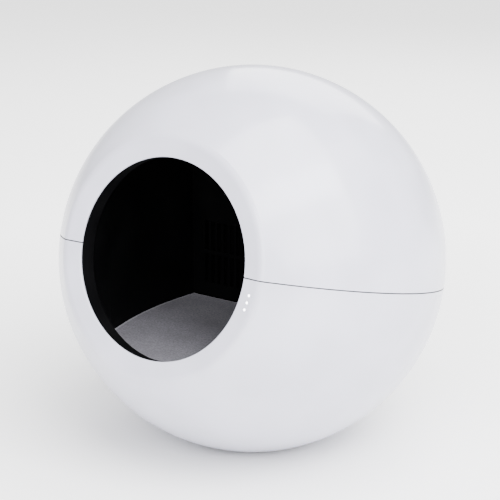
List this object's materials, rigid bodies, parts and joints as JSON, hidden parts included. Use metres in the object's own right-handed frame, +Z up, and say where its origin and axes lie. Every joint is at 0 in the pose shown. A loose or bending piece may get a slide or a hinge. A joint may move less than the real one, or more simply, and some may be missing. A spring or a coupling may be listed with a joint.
{
  "type": "cat litter box with hood",
  "caption": "White ball-shaped cat litter box with a hinged hood, a large round entry, a dark drum with a matted floor and a rear waste drawer.",
  "frame": {"origin": "on the floor under the middle of the overall bounding box", "axes": "+Z up, the entry faces -Y, +X is on the right seen from behind the entry looking out"},
  "size_m": [0.53, 0.51, 0.5149],
  "materials": {
    "shell_white": "smooth moulded, glossy",
    "interior_black": "fine texture, dark",
    "mat_grey": "fine grain, matte",
    "rubber_dark": "soft matte",
    "roller_tread": "soft matte",
    "steel": "turned and plated",
    "gear_acetal": "natural acetal",
    "board_green": "solder mask",
    "light_lens": "clear diffuser",
    "filter_foam": "open-cell foam",
    "sensor_black": "smooth, dark"
  },
  "bodies": {
    "base": {"base_shell": "shell_white", "beam_screws": "steel", "carbon_filter": "filter_foam", "control_board": "board_green", "control_box": "interior_black", "control_box_lid": "interior_black", "cradle_screws": "steel", "drawer_rail_left": "interior_black", "drawer_rail_right": "interior_black", "drive_motor": "steel", "entry_collar": "interior_black", "entry_sensor": "sensor_black", "filter_holder": "interior_black", "foot_front_left": "rubber_dark", "foot_front_right": "rubber_dark", "foot_rear_left": "rubber_dark", "foot_rear_right": "rubber_dark", "front_cradle": "interior_black", "gearbox": "interior_black", "hinge_pin": "steel", "home_sensor": "sensor_black", "led_board": "board_green", "load_cell_front_left": "steel", "load_cell_front_right": "steel", "load_cell_rear_left": "steel", "load_cell_rear_right": "steel", "power_inlet": "sensor_black", "rear_beam": "interior_black", "rear_bushing": "gear_acetal", "roller_axles": "steel", "seam_gasket": "rubber_dark", "status_lights": "light_lens"},
    "hood": {"hood_shell": "shell_white"},
    "drum": {"drum_front": "interior_black", "drum_rear": "interior_black", "entry_track": "interior_black", "rear_shaft": "steel", "shaft_clip": "steel", "ring_gear": "gear_acetal", "home_magnet": "steel", "floor_plate": "interior_black", "litter_mat": "mat_grey", "sifter_grille": "interior_black", "waste_ramp": "interior_black", "chamber_wall_left": "interior_black", "chamber_wall_right": "interior_black"},
    "pinion": {"drive_pinion": "gear_acetal", "output_shaft": "steel"},
    "roller_left": {"front_roller_left": "roller_tread"},
    "roller_right": {"front_roller_right": "roller_tread"},
    "drawer": {"drawer_front": "shell_white", "waste_tub": "interior_black", "drawer_pull": "interior_black"}
  },
  "joints": [
    {"name": "hood_hinge", "type": "hinge", "parent": "base", "child": "hood", "pos_m": [0, 0.24954, 0.18529], "axis": [-1, 0, 0], "range_deg": [0, 80]},
    {"name": "drum_turn", "type": "hinge", "parent": "base", "child": "drum", "pos_m": [0, -0.01001, 0.25], "axis": [0, 0.9703, -0.2419], "continuous": true},
    {"name": "pinion_spin", "type": "hinge", "parent": "base", "child": "pinion", "pos_m": [0.06719, 0.1045, 0.20084], "axis": [0, 0.9703, -0.2419], "continuous": true},
    {"name": "roller_left_spin", "type": "hinge", "parent": "base", "child": "roller_left", "pos_m": [-0.08844, -0.2191, 0.17195], "axis": [0, 0.9703, -0.2419], "continuous": true},
    {"name": "roller_right_spin", "type": "hinge", "parent": "base", "child": "roller_right", "pos_m": [0.08844, -0.2191, 0.17195], "axis": [0, 0.9703, -0.2419], "continuous": true},
    {"name": "drawer_slide", "type": "slide", "parent": "base", "child": "drawer", "axis": [0, 1, 0], "range_m": [0, 0.16]}
  ],
  "couplings": [
    {"joint": "pinion_spin", "follows": "drum_turn", "ratio": -2.5},
    {"joint": "roller_left_spin", "follows": "drum_turn", "ratio": -11.833},
    {"joint": "roller_right_spin", "follows": "drum_turn", "ratio": -11.833}
  ]
}
